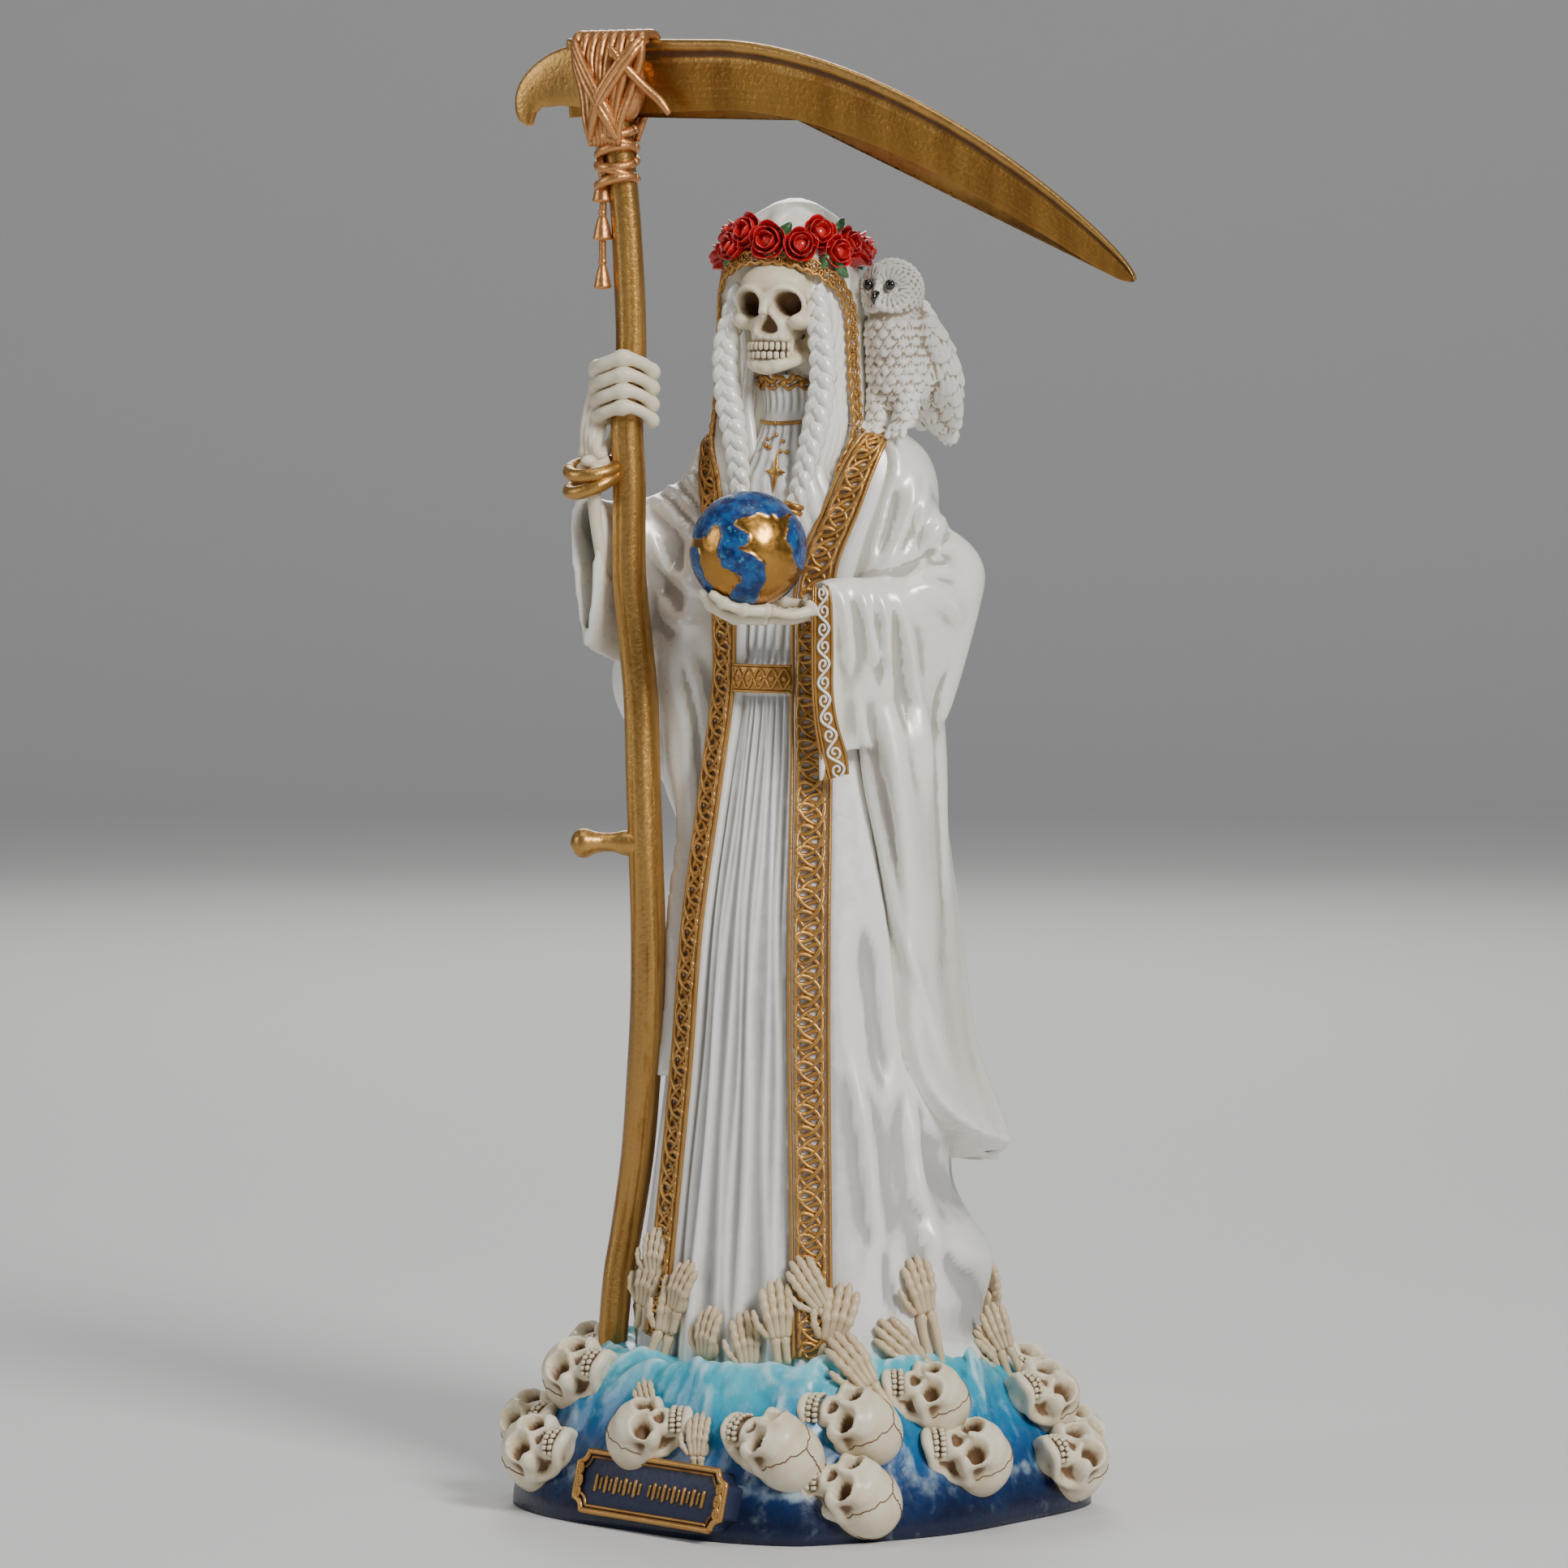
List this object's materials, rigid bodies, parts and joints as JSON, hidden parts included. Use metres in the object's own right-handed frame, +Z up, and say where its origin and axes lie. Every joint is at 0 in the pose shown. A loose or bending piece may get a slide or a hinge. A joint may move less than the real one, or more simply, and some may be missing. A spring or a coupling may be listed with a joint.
{
  "type": "santa muerte figure",
  "caption": "Robed skeleton figurine with a tall scythe, a globe in the open hand and an owl on the shoulder, on an oval mound of waves and skulls.",
  "frame": {"origin": "centre of the flat underside of the mound, under the middle of the robe", "axes": "+Z up the figure, -Y towards the front of the robe, +X to the figure's own left"},
  "size_m": [0.1395, 0.1054, 0.2976],
  "materials": {
    "pearl_white": "pearl paint on cast resin, warm white with grey in the folds",
    "old_gold": "metallic gold paint with a brown wash, brushed and worn",
    "bone": "cream paint with a brown wash in the hollows",
    "water_blue": "light turquoise at the hem through blue to navy at the rim, dry-brushed white",
    "owl_white": "white paint with a tan wash over carved feathers",
    "rose_red": "glossy red paint",
    "leaf_green": "dark green paint",
    "globe_blue": "glossy blue land on a gold sea",
    "plaque_navy": "dark blue field in a gold frame"
  },
  "bodies": {
    "root": {"figure": "pearl_white", "scythe": "old_gold"}
  },
  "joints": []
}
